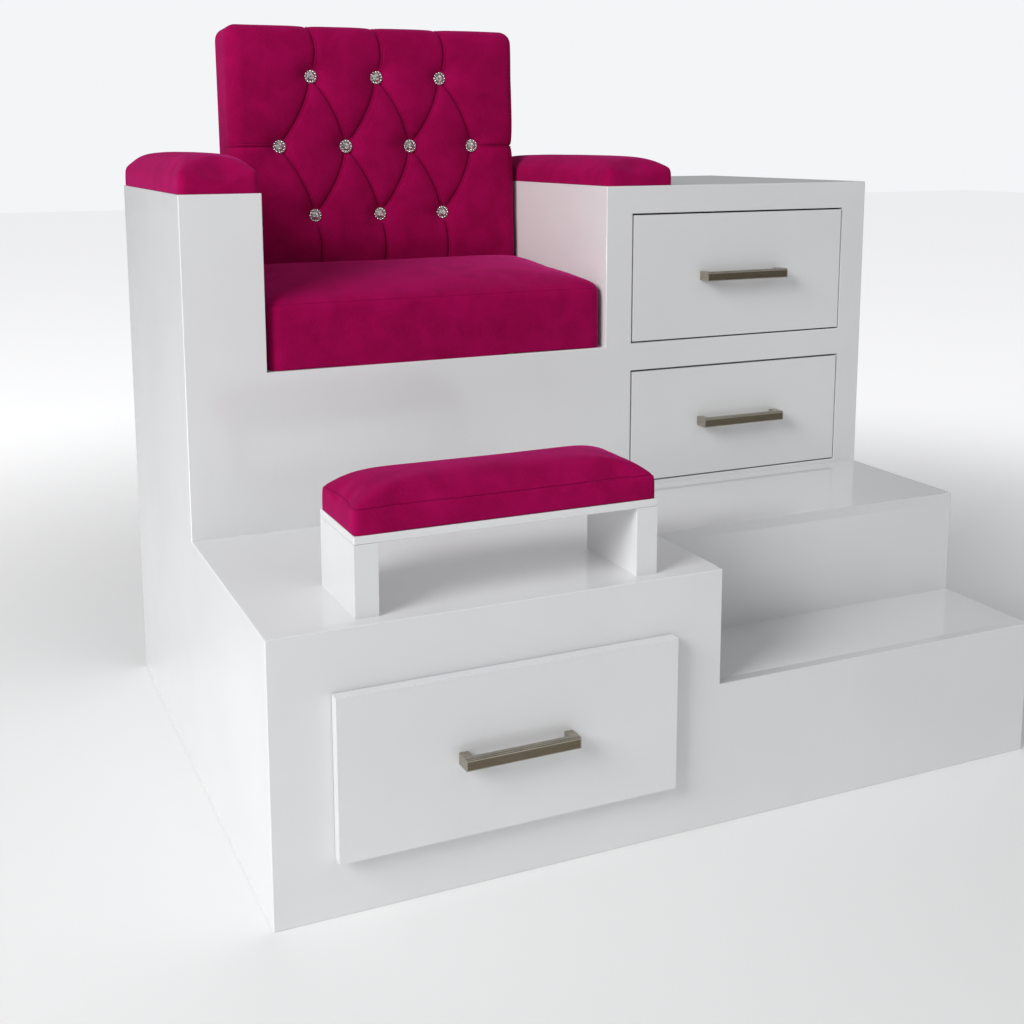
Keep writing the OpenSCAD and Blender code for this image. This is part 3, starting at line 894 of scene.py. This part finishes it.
@dataclass
class Pad:
    """A boxed cushion: an upright band, a seam round the top of it, and a crowned top panel.

    The foam's swelling is simulated as cloth under pressure, and then limited to the real crown.
    """

    node: str
    board: str
    seam: float
    crown: float
    rise: float = 0.0
    corner: float = 12 * MM
    roll: float = 11 * MM
    voxel: float = 5 * MM
    slack: float = 1.5 * MM
    bulge: float = 1.4 * MM
    pinch: float = 1.6 * MM
    seam_w: float = 1.3 * MM
    seam_deep: float = 1.5 * MM
    pressure: float = 4.0
    plump: float = 1.5
    smoothing: int = 4
    base_gap: float = 0.2 * MM
    proud: float = 0.0
    fill: float = 0.9
    frames: int = 20
    sim: Piece | None = None

    def box(self) -> tuple[Vector, Vector]:
        """The space from the foot of the cover to the top of the band."""
        low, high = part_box(self.node)
        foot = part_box(self.board)[0].z if self.board else low.z
        first = Vector((low.x - self.proud, low.y - self.proud, foot + self.base_gap))
        return first, Vector((high.x + self.proud, high.y + self.proud, self.seam))

    def start(self) -> None:
        """Makes the slab, and the cloth that swells under pressure."""
        low, high = self.box()
        gap = Vector((self.slack, self.slack, 0))
        top = Vector((0, 0, self.roll * 0.55))
        deep = Vector((0, 0, 2 * self.voxel))
        solid = Solid(f"{self.node}.velvet")
        solid.block(low + gap - deep, high - gap + top)
        upright = [edge for edge in solid.bm.edges if abs(self.run(edge).z) > MM]
        solid.bevel(upright, self.corner, 6)
        level = high.z + top.z - 0.1 * MM
        rim = [edge for edge in solid.sharp_edges(60) if min(v.co.z for v in edge.verts) > level]
        solid.bevel(rim, self.roll, 5)
        self.sim = remeshed(solid, self.voxel)
        held = self.sim.vertex_groups.new(name="held")
        floor = low.z + self.voxel
        base = [vert.index for vert in self.sim.data.vertices if vert.co.z < floor]
        held.add(base, 1.0, "REPLACE")
        cloth = self.sim.modifiers.new("swell", "CLOTH")
        for key, value in COVER_CLOTH.items():
            setattr(cloth.settings, key, value)
        cloth.settings.vertex_group_mass = held.name
        cloth.settings.use_pressure = True
        cloth.settings.uniform_pressure_force = self.pressure
        cloth.settings.effector_weights.gravity = 0
        cloth.collision_settings.use_collision = False
        cloth.point_cache.frame_start = 1
        cloth.point_cache.frame_end = self.frames

    @staticmethod
    def run(edge: Edge) -> Vector:
        """The vector along an edge."""
        return edge.verts[1].co - edge.verts[0].co

    def swell(self) -> list[Vector]:
        """How each point of the slab moved under pressure, scaled so that the most is 1."""
        begin = [vert.co.copy() for vert in self.sim.data.vertices]
        low, high = self.box()
        mesh = evaluated(self.sim)
        moved = [vert.co - was for vert, was in zip(mesh.vertices, begin)]
        most = max(step.z for step in moved)
        LOG.info("%s: cloth rose %.1f mm before the limit", self.node, most / MM)
        bpy.data.meshes.remove(mesh)
        return [step / most for step in moved]

    def shape(self, point: Vector, step: Vector, low: Vector, high: Vector) -> Vector:
        """The place of one point of the finished cushion.

        Args:
            point: its place on the slab.
            step: its scaled motion under pressure.
            low: the lowest corner of the band.
            high: the highest corner of the band.

        Returns:
            Its final place.
        """
        middle = (low + high) / 2
        half = (high - low) / 2
        across = (point.x - middle.x) / half.x
        along = (point.y - middle.y) / half.y
        height = smooth_step(point.z, low.z + 10 * MM, high.z)
        back = 1 - (1 - min(1.0, (along + 1) / 2)) ** 2.2
        share = math.tanh(self.plump * step.z) / math.tanh(self.plump)
        lift = self.crown * share + self.rise * back * height
        reach = self.bulge / max(self.bulge, 0.4 * self.crown)
        out_x = math.tanh(step.x * self.crown * reach / self.bulge) * self.bulge
        out_y = math.tanh(step.y * self.crown * reach / self.bulge) * self.bulge
        tuck_x = -self.pinch * across**7 * (1 - along**2) * height
        tuck_y = -self.pinch * along**7 * (1 - across**2) * height
        soft = noise.noise(point * 9) * 0.6 * MM * height
        place = point + Vector((out_x + tuck_x, out_y + tuck_y, lift + soft))
        place.x = min(high.x, max(low.x, place.x))
        place.y = min(high.y, max(low.y, place.y))
        return place

    def finish(self) -> None:
        """Limits the swelling, sews the seam and dresses the cushion."""
        low, high = self.box()
        steps = self.swell()
        solid = Solid(f"{self.node}.velvet")
        solid.bm.from_mesh(self.sim.data)
        solid.bm.verts.ensure_lookup_table()
        for vert, step in zip(solid.bm.verts, steps):
            vert.co = self.shape(vert.co, step, low, high)
        axes = {f"use_axis_{axis}": True for axis in "xyz"}
        for _ in range(self.smoothing):
            bmesh.ops.smooth_vert(solid.bm, verts=solid.bm.verts, factor=0.5, **axes)
        self.sew(solid.bm)
        self.close_foot(solid.bm, low.z)
        bpy.data.objects.remove(self.sim)
        piece = solid.finish(180)
        finer = piece.modifiers.new("finer", "SUBSURF")
        finer.levels = 1
        finer.render_levels = 1
        dress(piece, Coat.VELVET, "casework", self.node)

    def sew(self, bm: Mesh) -> None:
        """Cuts the seam round the cushion, pulls it in and paints shade along it."""
        crease = bm.verts.layers.float.new("crease")
        cuts = [
            sliced(bm, (0, 0, self.seam + offset), (0, 0, 1), Vert)
            for offset in (-self.seam_w, 0, self.seam_w)
        ]
        bm.normal_update()
        for vert in cuts[1]:
            inward = Vector((vert.normal.x, vert.normal.y, 0)).normalized()
            vert.co -= inward * self.seam_deep
            # painted shade along the seam, deeper where the seam is pulled in further
            vert[crease] = self.seam_deep / (1.5 * MM)

    @staticmethod
    def close_foot(bm: Mesh, level: float) -> None:
        """Cuts the cover level at its foot and closes it.

        Args:
            bm: the cushion's mesh.
            level: the height of the foot.
        """
        sharp = bm.edges.layers.float.new("crease_edge")
        rim = sliced(bm, (0, 0, level), (0, 0, 1), Edge, clear_inner=True)
        for edge in rim:
            edge[sharp] = 0.8
        bmesh.ops.triangle_fill(bm, edges=rim, use_beauty=True, normal=(0, 0, -1))


@dataclass(frozen=True)
class Pleat:
    """A fold of the cover from one point of the back to another, in its own plane."""

    start: tuple[float, float]
    end: tuple[float, float]
    depth: float
    reach: float

    def measure(self, across: float, up: float) -> tuple[float, float]:
        """Where a point lies beside the pleat.

        Args:
            across: the point's place across the back.
            up: its place up the back.

        Returns:
            Its distance from the pleat, negative on the left, and the share along it.
        """
        run_x = self.end[0] - self.start[0]
        run_y = self.end[1] - self.start[1]
        long = math.hypot(run_x, run_y)
        from_x = across - self.start[0]
        from_y = up - self.start[1]
        share = (from_x * run_x + from_y * run_y) / long**2
        if share < 0:
            return math.hypot(from_x, from_y), share
        if share > 1:
            return math.hypot(across - self.end[0], up - self.end[1]), share
        return (from_x * run_y - from_y * run_x) / long, share


@dataclass
class TuftedBack:
    """The back rest: a slab with rolled edges, a diamond of pleats and sunk buttons."""

    piece: str = "back_cushion.tufted"
    seat_z: float = 696 * MM
    tilt: float = 2.3
    width: float = 595 * MM
    length: float = 601 * MM
    lift: float = 6 * MM
    thick: float = 98.3 * MM
    corner: float = 24 * MM
    roll: float = 34 * MM
    rear_edge: float = 2.5 * MM
    board_edge: float = 6 * MM
    voxel: float = 4 * MM
    spacing: float = 134 * MM
    lowest: float = 236 * MM
    rows: tuple[int, ...] = (3, 4, 3)
    crown: float = 9 * MM
    fold: float = 10 * MM
    fold_reach: float = 23 * MM
    dimple: float = 12.5 * MM
    dimple_reach: float = 23 * MM
    bow: float = 8 * MM
    crease: float = 3.0 * MM
    crease_reach: float = 1.7 * MM
    tuck: float = 4.5 * MM
    tuck_height: float = 1.5 * MM
    tuck_half: float = 1.5 * MM
    lip_half: float = 1.1 * MM
    flat_below: float = 125 * MM
    full_above: float = 190 * MM
    deeper_near: float = 30 * MM
    fold_limit: float = 14 * MM
    gather_from: float = 10 * MM
    gather_to: float = 22 * MM
    waves: float = 0.7 * MM

    def matrix(self) -> Matrix:
        """From the back's own frame, x across, y into it and z up it, to the row frame."""
        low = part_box("back_cushion")[0]
        front = low.y - self.lift * math.sin(math.radians(self.tilt))
        place = Matrix.Translation((low.x, front, self.seat_z))
        return place @ Matrix.Rotation(-math.radians(self.tilt), 4, "X")

    def buttons(self) -> list[tuple[float, float]]:
        """The buttons' places across and up the back."""
        return [
            (self.width / 2 + (step - (count - 1) / 2) * self.spacing, self.lowest + row * self.spacing)
            for row, count in enumerate(self.rows)
            for step in range(count)
        ]

    def pleats(self) -> list[Pleat]:
        """Every pleat: between neighbours of different rows, and out to the edges."""
        places = self.buttons()
        found = []
        for first in places:
            for second in places:
                if abs(second[1] - first[1] - self.spacing) < MM:
                    if abs(abs(second[0] - first[0]) - self.spacing / 2) < MM:
                        found.append(Pleat(first, second, self.fold, self.fold_reach))
        bottom = places[: self.rows[0]]
        middle = places[self.rows[0] : self.rows[0] + self.rows[1]]
        top = places[-self.rows[2] :]
        slim = self.fold * 0.42
        reach = self.fold_reach * 0.5
        past = 10 * MM
        ends = [((across, up), (across, self.length + past)) for across, up in top]
        ends += [((across, self.lift), (across, up)) for across, up in bottom]
        ends += [(middle[0], (-past, middle[0][1])), (middle[-1], (self.width + past, middle[-1][1]))]
        return found + [Pleat(start, end, slim, reach) for start, end in ends]

    def slab(self) -> Piece:
        """The remeshed slab with its rolled front edge, in the back's own frame."""
        solid = Solid(self.piece)
        solid.block((0, 0, self.lift), (self.width, self.thick, self.length))
        depthwise = [edge for edge in solid.bm.edges if abs(Pad.run(edge).y) > MM]
        solid.bevel(depthwise, self.corner, 7)
        front = [edge for edge in solid.sharp_edges(60) if max(v.co.y for v in edge.verts) < MM]
        solid.bevel(front, self.roll - MM, 7)
        behind = self.thick - MM
        rear = [edge for edge in solid.sharp_edges(60) if min(v.co.y for v in edge.verts) > behind]
        solid.bevel(rear, self.rear_edge, 2)
        return remeshed(solid, self.voxel)

    def cut(self, bm: Mesh, pleat: Pleat) -> None:
        """Cuts edges along a pleat, so that its fold is sharp.

        Args:
            bm: the mesh in the back's own frame.
            pleat: the pleat.
        """
        start = Vector((pleat.start[0], 0, pleat.start[1]))
        end = Vector((pleat.end[0], 0, pleat.end[1]))
        run = (end - start).normalized()
        side = Vector((run.z, 0, -run.x))
        margin = 12 * MM
        low_x, high_x = min(start.x, end.x) - margin, max(start.x, end.x) + margin
        low_z, high_z = min(start.z, end.z) - margin, max(start.z, end.z) + margin
        for offset in (-1.6 * MM, 0, 2.2 * MM, self.tuck, self.tuck + 1.8 * MM):
            near = []
            for face in bm.faces:
                at = face.calc_center_median()
                if at.y < 70 * MM and low_x < at.x < high_x and low_z < at.z < high_z:
                    if abs((at - start).dot(side) - offset) < 8 * MM:
                        near.append(face)
            edges = {edge for face in near for edge in face.edges}
            verts = {vert for edge in edges for vert in edge.verts}
            part = [*verts, *edges, *near]
            sliced(bm, start + side * offset, side, Vert, geom=part, dist=0.0002)

    def relief(self, across: float, up: float, pleats: Sequence[Pleat]) -> tuple[float, float]:
        """How far the cover stands out at a point of the front.

        Args:
            across: the place across the back.
            up: the place up the back.
            pleats: every pleat.

        Returns:
            The height in metres, and the painted shade of its crease from 0 to 1.
        """
        centred = 2 * across / self.width - 1
        raised = 2 * up / self.length - 1
        crown = self.crown * max(0, 1 - centred**6) * max(0, 1 - raised**8)
        crown *= smooth_step(up, self.flat_below, self.full_above) * 0.8 + 0.2
        near = min(math.hypot(across - x, up - z) for x, z in self.buttons())
        total = 0.0
        fine = 0.0
        dark = 0.0
        for pleat in pleats:
            beside, share = pleat.measure(across, up)
            away = abs(beside)
            depth = pleat.depth * (0.72 + 0.5 * math.exp(-near / self.deeper_near))
            total += (depth * math.exp(-away / pleat.reach)) ** 4
            if 0 <= share <= 1 and away < self.fold_limit:
                line = math.exp(-((away / self.crease_reach) ** 1.5))
                fold = math.exp(-(((beside - self.tuck * 0.5) / self.tuck_half) ** 2))
                lip = math.exp(-(((beside - self.tuck) / self.lip_half) ** 2))
                fine += self.tuck_height * fold - self.crease * line - 0.4 * self.crease * lip
                # painted shade: dark along the crease line and fainter along the fold's lip
                dark = max(dark, line, 0.35 * lip)
        well = self.dimple * math.exp(-((near / self.dimple_reach) ** 1.3))
        gather = smooth_step(near, self.gather_from, self.gather_to)
        return crown - total**0.25 - well + fine * gather, dark * gather

    def warp(self, up: float) -> float:
        """How far the pleats bow sideways at a height."""
        if up > self.lowest + 2 * self.spacing:
            rest = self.length - self.lowest - 2 * self.spacing
            share = min(1.0, (up - self.lowest - 2 * self.spacing) / rest)
            return self.bow * (math.sin(math.pi * share) - 0.5 * share**3)
        share = (up - self.lowest) / self.spacing
        return self.bow * abs(math.sin(math.pi * share)) if up > self.lowest - self.spacing else 0.0

    def cushion(self) -> None:
        """Builds the tufted cushion."""
        slab = self.slab()
        solid = Solid(self.piece)
        bm = solid.bm
        bm.from_mesh(slab.data)
        bpy.data.objects.remove(slab)
        pleats = self.pleats()
        for pleat in pleats:
            self.cut(bm, pleat)
        painted_crease_shade = bm.verts.layers.float.new("crease")
        bm.normal_update()
        moves = []
        for vert in bm.verts:
            point = vert.co
            front = 1 - smooth_step(point.y, 4 * MM, 62 * MM)
            if front <= 0:
                moves.append(Vector())
                continue
            height, dark = self.relief(point.x, point.z, pleats)
            height += noise.noise(point * 14) * self.waves
            # painted shade of the pleat creases, stored in the crease attribute
            vert[painted_crease_shade] = dark * front
            lean = max(0.0, 1 - (2 * point.x / self.width - 1) ** 8)
            bow = Vector((self.warp(point.z) * lean * front, 0, 0))
            moves.append(vert.normal * height * front + bow)
        for vert, move in zip(bm.verts, moves):
            vert.co += move
        bmesh.ops.triangulate(bm, faces=[face for face in bm.faces if len(face.verts) > 4])
        bm.transform(self.matrix())
        piece = dress(solid.finish(180), Coat.VELVET, "casework", "back_cushion")

    def studs(self) -> None:
        """Builds the ten buttons: silvered settings and cut crystals."""
        settings = Solid("button_settings.silvered")
        stones = Solid("button_crystals.cut")
        for across, up in self.buttons():
            place = self.matrix() @ Matrix.Translation((across, 0, up))
            place = place @ Matrix.Rotation(math.radians(90), 4, "X")
            Stud().add(settings, stones, place)
        dress(settings.finish(50), Coat.SILVER, "casework", "button_settings")
        dress(stones.finish(5), Coat.CRYSTAL, "casework", "button_crystals")

    def build(self) -> None:
        """Builds the back rest."""
        self.cushion()
        self.studs()
        rounded_node("back_board", Coat.PLYWOOD, "casework", self.board_edge)


@dataclass
class Stud:
    """One button: a scalloped ring of claws round a cut crystal, on a stem. Local z points out."""

    radius: float = 13 * MM
    base: float = -14 * MM
    girdle: float = -7.5 * MM
    claws: int = 12
    stem_r: float = 1.5 * MM
    stem_end: float = -90 * MM

    def add(self, settings: Solid, stones: Solid, place: Matrix) -> None:
        """Adds the cup, the stem and the claws, and the crystal's stacked rings of facets.

        Args:
            settings: the solid of all the settings.
            stones: the solid of all the crystals.
            place: the button's place, with z pointing out of the back.
        """
        self.cone(settings, place, 36, (self.radius * 0.86, self.base), (self.radius, self.girdle))
        self.cone(settings, place, 12, (self.stem_r, self.stem_end), (self.stem_r, self.base))
        for step in range(self.claws):
            turn = Matrix.Rotation(math.tau * step / self.claws, 4, "Z")
            claw = place @ turn @ Matrix.Translation((self.radius * 0.84, 0, self.girdle))
            claw = claw @ Matrix.Diagonal((1, 1, 1.2, 1))
            bmesh.ops.create_uvsphere(
                settings.bm, u_segments=10, v_segments=7, radius=self.radius * 0.2, matrix=claw
            )
        rings = [
            (self.radius * wide, self.girdle + height * MM)
            for wide, height in ((0.72, 0.0), (0.62, 2.6), (0.40, 4.4), (0.22, 4.9))
        ]
        for step, (foot, top) in enumerate(zip(rings, rings[1:])):
            turn = Matrix.Rotation(math.pi / 8 * step, 4, "Z")
            self.cone(stones, place @ turn, 8, foot, top)

    @staticmethod
    def cone(
        solid: Solid, place: Matrix, sides: int, foot: tuple[float, float], top: tuple[float, float]
    ) -> None:
        """Adds a tapered prism along the z axis of a place.

        Args:
            solid: the solid that it joins.
            place: the place.
            sides: the number of its sides.
            foot: the radius and the height of its foot.
            top: the radius and the height of its top.
        """
        bmesh.ops.create_cone(
            solid.bm, cap_ends=True, segments=sides, radius1=foot[0], radius2=top[0],
            depth=top[1] - foot[1], matrix=place @ Matrix.Translation((0, 0, (foot[1] + top[1]) / 2)),
        )


@dataclass
class Upholstery:
    """Every soft piece of the chair, with the boards under them."""

    board_corner: float = 16 * MM
    pads: list[Pad] = field(
        default_factory=lambda: [
            Pad("seat_cushion", "seat_board", 806 * MM, 14 * MM, 24 * MM, voxel=6 * MM,
                corner=22 * MM, roll=18 * MM, seam_deep=1.0 * MM),
            Pad("left_arm_pad", "arm_pad_boards", 1024 * MM, 26 * MM, corner=10 * MM,
                roll=14 * MM, seam_deep=0.3 * MM, proud=1.5 * MM),
            Pad("right_arm_pad", "arm_pad_boards", 1020 * MM, 19 * MM, corner=10 * MM,
                roll=14 * MM, seam_deep=0.3 * MM, proud=1.5 * MM),
            Pad("footrest_cushion", "", 576 * MM, 29 * MM, corner=6 * MM, roll=7 * MM,
                seam_deep=1.8 * MM, proud=2.0 * MM),
        ]
    )

    def build(self) -> None:
        """Swells the pads together, and builds the back rest."""
        for pad in self.pads:
            pad.start()
        scene = bpy.context.scene
        for frame_number in range(1, self.pads[0].frames + 1):
            scene.frame_set(frame_number)
        for pad in self.pads:
            pad.finish()
        bpy.context.scene.frame_set(1)
        TuftedBack().build()
        for node in ("seat_board", "arm_pad_boards"):
            self.board(node)

    def board(self, node: str) -> None:
        """Replaces a board under a cushion by a copy with rounded corners."""
        solid = Solid.from_node(f"{node}.cornered", node)
        upright = [edge for edge in solid.sharp_edges() if abs(Pad.run(edge).z) > MM]
        solid.bevel(upright, self.board_corner, 4)
        dress(solid.finish(), Coat.PLYWOOD, "casework", node)


@dataclass
class Footrest:
    """The lacquered footrest that stands on the platform."""

    edge: float = 1.4 * MM

    def build(self) -> None:
        """Builds the legs and the top, and finishes the screws."""
        for node in ("footrest_legs", "footrest_top"):
            rounded_node(node, Coat.LACQUER, "casework", self.edge)
        paint_node("footrest_screws", Coat.STEEL)


# ---------------------------------------------------------------- scene


@dataclass
class Studio:
    """Plain pale floor, soft light and the camera."""

    eye: Point = (-1.0795, -2.1358, 1.0727)
    yaw: float = 23.68
    pitch: float = -9.09
    roll: float = 0.25
    lens: float = 46.44
    shift: tuple[float, float] = (0.0256, -0.155)
    floor_size: float = 40.0
    ambient: float = 0.34
    backdrop: float = 0.93
    aim: Point = (0, 0, 0.55)
    panel_size: float = 2.8

    def build(self) -> None:
        """Builds the floor, the lights, the world and the camera."""
        self.floor()
        self.world()
        self.lights()
        self.camera()

    def floor(self) -> None:
        """A wide pale floor that isn't part of the chair."""
        solid = Solid("studio_floor")
        bmesh.ops.create_grid(solid.bm, x_segments=1, y_segments=1, size=self.floor_size / 2)
        piece = solid.finish()
        piece.data.materials.append(PaleFloor().build())

    def world(self) -> None:
        """Pale surroundings that light the chair more softly than they look."""
        world = bpy.data.worlds.new("studio")
        world.use_nodes = True
        tree = world.node_tree
        back = tree.nodes["Background"]
        back.inputs[0].default_value = (0.97, 0.98, 1.0, 1)
        path = tree.nodes.new("ShaderNodeLightPath")
        level = tree.nodes.new("ShaderNodeMapRange")
        level.inputs["To Min"].default_value = self.ambient
        level.inputs["To Max"].default_value = self.backdrop
        tree.links.new(path.outputs["Is Camera Ray"], level.inputs["Value"])
        tree.links.new(level.outputs[0], back.inputs[1])
        bpy.context.scene.world = world
        bpy.context.scene.view_settings.view_transform = "Standard"

    def lights(self) -> None:
        """Soft panels from the upper left and from the front."""
        for name, spot, watts in (
            ("key", (-5.5, -2.45, 3.8), 340),
            ("front", (2.0, -3.6, 3.8), 14),
        ):
            data = bpy.data.lights.new(name, "AREA")
            data.size = self.panel_size
            data.energy = watts
            lamp = bpy.data.objects.new(name, data)
            lamp.location = spot
            way = Vector(self.aim) - Vector(spot)
            lamp.rotation_euler = way.to_track_quat("-Z", "Y").to_euler()
            bpy.context.scene.collection.objects.link(lamp)

    def camera(self) -> None:
        """The camera, at standing eye height in front of the left side."""
        data = bpy.data.cameras.new("camera")
        data.lens = self.lens
        data.shift_x, data.shift_y = self.shift
        camera = bpy.data.objects.new("camera", data)
        turn = Euler((math.radians(90 + self.pitch), 0, -math.radians(self.yaw)), "XYZ")
        spin = Matrix.Rotation(math.radians(-self.roll), 4, "Z")
        camera.matrix_world = Matrix.Translation(self.eye) @ turn.to_matrix().to_4x4() @ spin
        bpy.context.scene.collection.objects.link(camera)
        bpy.context.scene.camera = camera


def main() -> None:
    """Builds the chair and its studio."""
    logging.basicConfig(level=logging.INFO, format="%(message)s")
    Studio().build()
    Casework().build()
    for name in ("upper", "lower", "platform"):
        Drawer(name).build()
    Footrest().build()
    Upholstery().build()


if __name__ == "__main__":
    main()
